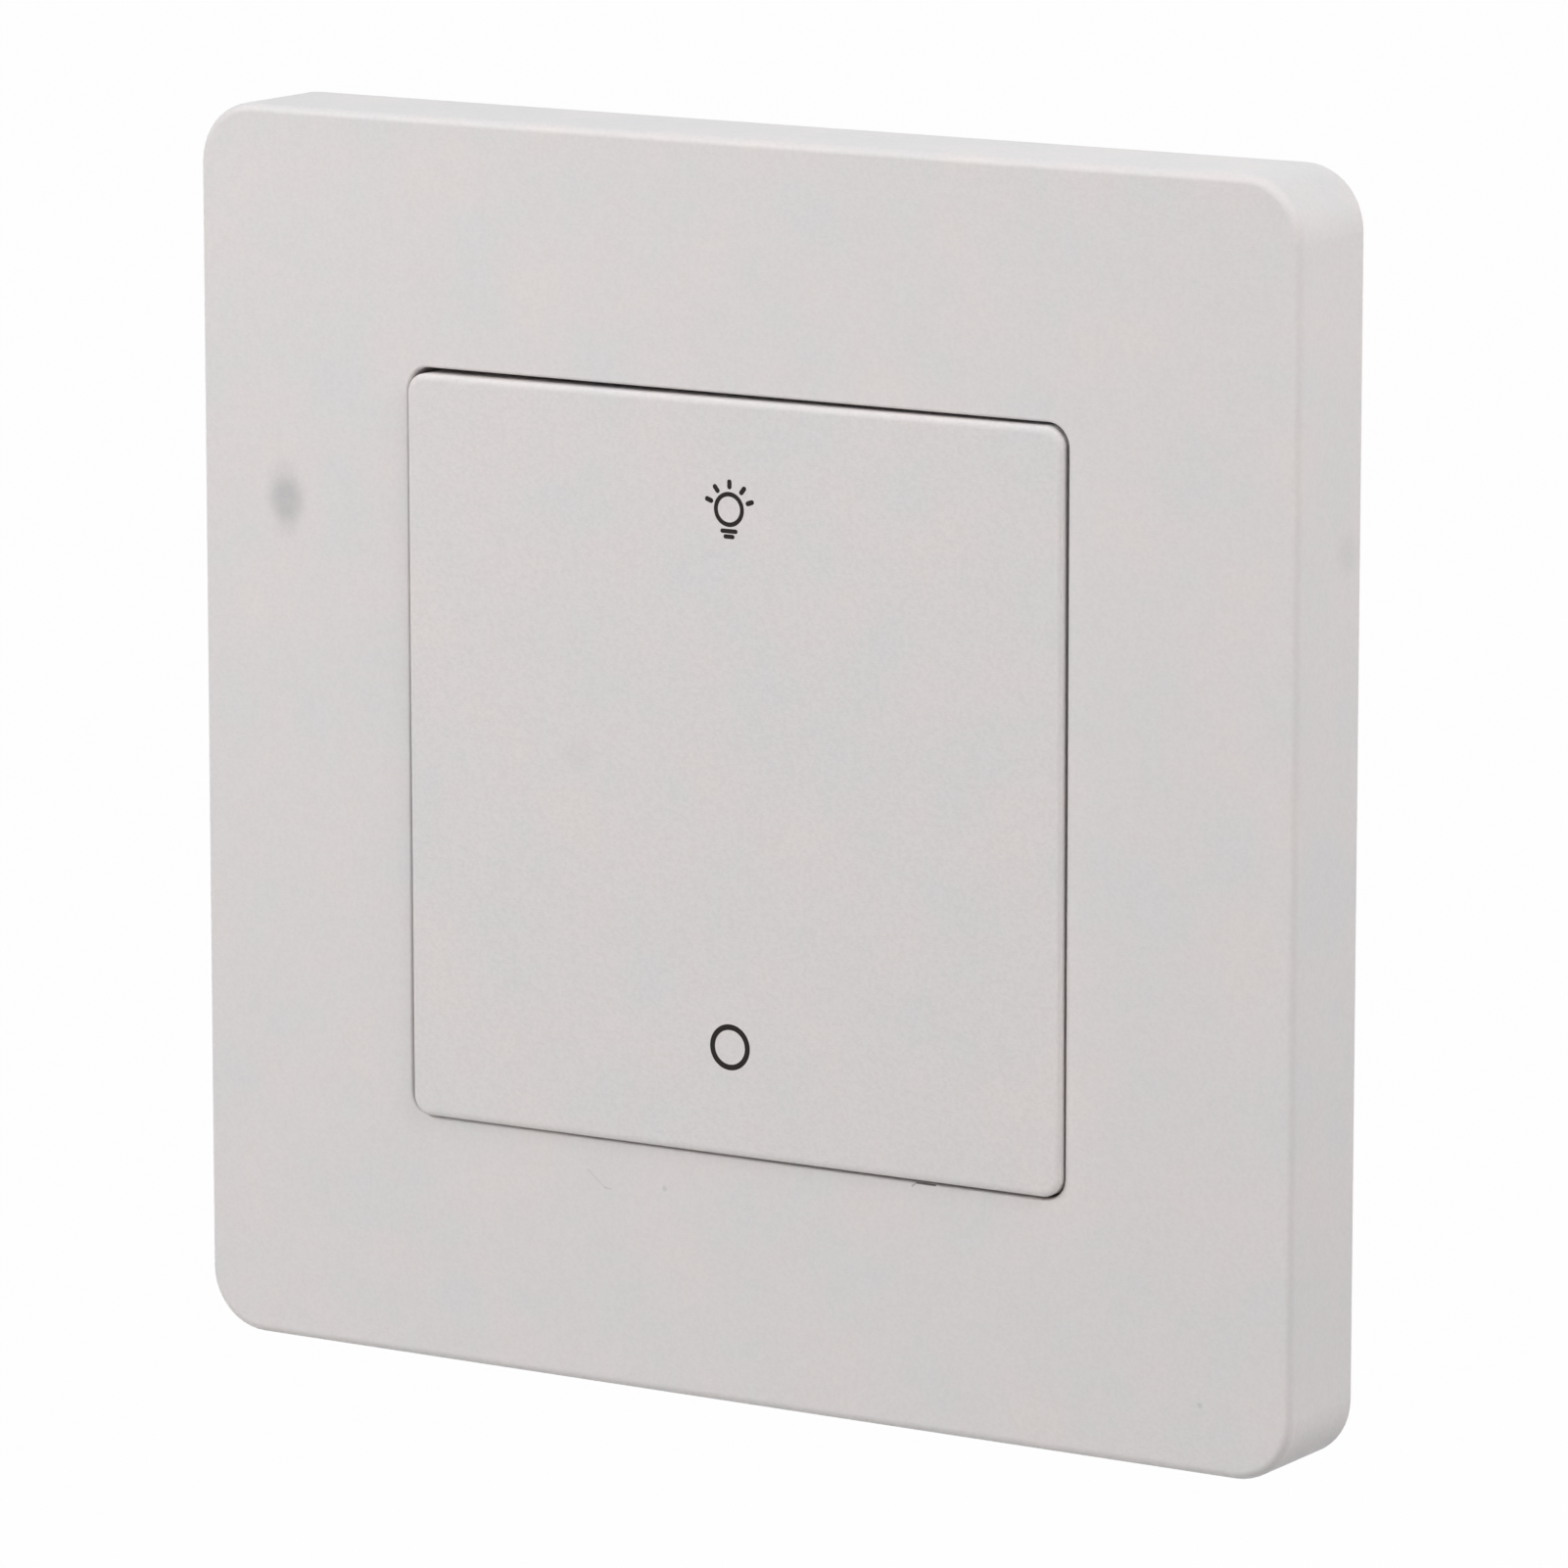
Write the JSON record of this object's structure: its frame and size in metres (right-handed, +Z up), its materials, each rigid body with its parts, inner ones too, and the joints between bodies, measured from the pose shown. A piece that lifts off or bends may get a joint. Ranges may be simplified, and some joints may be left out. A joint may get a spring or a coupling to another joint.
{
  "type": "smart dimmer switch",
  "caption": "Square wall dimmer switch: rounded frame plate round a flush tilting rocker, clipped to a steel bracket, with an in-wall dimmer module and screw terminals behind.",
  "frame": {"origin": "centre of the wall plane, midway between the wall box screws", "axes": "+X right, +Z up, +Y into the wall; the rocker faces -Y"},
  "size_m": [0.086, 0.0362, 0.086],
  "materials": {
    "frame_plastic": "matte",
    "rocker_plastic": "matte",
    "sign_ink": "matte",
    "zinc_steel": "satin",
    "screw_steel": "satin",
    "carrier_plastic": "matte",
    "housing_plastic": "matte",
    "board_laminate": "satin",
    "chip_resin": "matte",
    "switch_plastic": "satin",
    "stem_plastic": "satin",
    "shield_tin": "satin",
    "header_plastic": "satin",
    "pin_gold": "polished",
    "choke_winding": "satin",
    "capacitor_sleeve": "satin",
    "film_resin": "satin",
    "fuse_resin": "satin",
    "varistor_coat": "satin",
    "ferrite": "matte",
    "spreader_metal": "satin",
    "terminal_plastic": "satin",
    "terminal_brass": "satin"
  },
  "bodies": {
    "base": {"front_frame": "frame_plastic", "mounting_bracket": "zinc_steel", "switch_carrier": "carrier_plastic", "carrier_screws": "screw_steel", "rear_housing": "housing_plastic", "control_board": "board_laminate", "control_chip": "chip_resin", "upper_push_switch": "switch_plastic", "lower_push_switch": "switch_plastic", "radio_board": "board_laminate", "radio_shield": "shield_tin", "board_header": "header_plastic", "header_pins": "pin_gold", "power_board": "board_laminate", "filter_choke": "choke_winding", "storage_capacitor": "capacitor_sleeve", "film_capacitor": "film_resin", "mains_fuse": "fuse_resin", "surge_varistor": "varistor_coat", "supply_transformer": "ferrite", "dimmer_transistors": "chip_resin", "heat_spreader": "spreader_metal", "terminal_block": "terminal_plastic", "terminal_clamps": "terminal_brass", "terminal_screws": "terminal_brass"},
    "rocker": {"rocker_cap": "rocker_plastic"},
    "upper_stem": {"upper_switch_stem": "stem_plastic"},
    "lower_stem": {"lower_switch_stem": "stem_plastic"}
  },
  "joints": [
    {"name": "rocker_tilt", "type": "hinge", "parent": "base", "child": "rocker", "pos_m": [0, -0.0049, 0], "axis": [-1, 0, 0], "range_deg": [-2, 2], "stiffness_Nm_per_rad": 1.5},
    {"name": "upper_stem_slide", "type": "slide", "parent": "base", "child": "upper_stem", "axis": [0, 1, 0], "range_m": [-0.0006, 0.0006]},
    {"name": "lower_stem_slide", "type": "slide", "parent": "base", "child": "lower_stem", "axis": [0, 1, 0], "range_m": [-0.0006, 0.0006]}
  ],
  "couplings": [
    {"joint": "upper_stem_slide", "follows": "rocker_tilt", "m_per_rad": 0.016},
    {"joint": "lower_stem_slide", "follows": "rocker_tilt", "m_per_rad": -0.016}
  ]
}
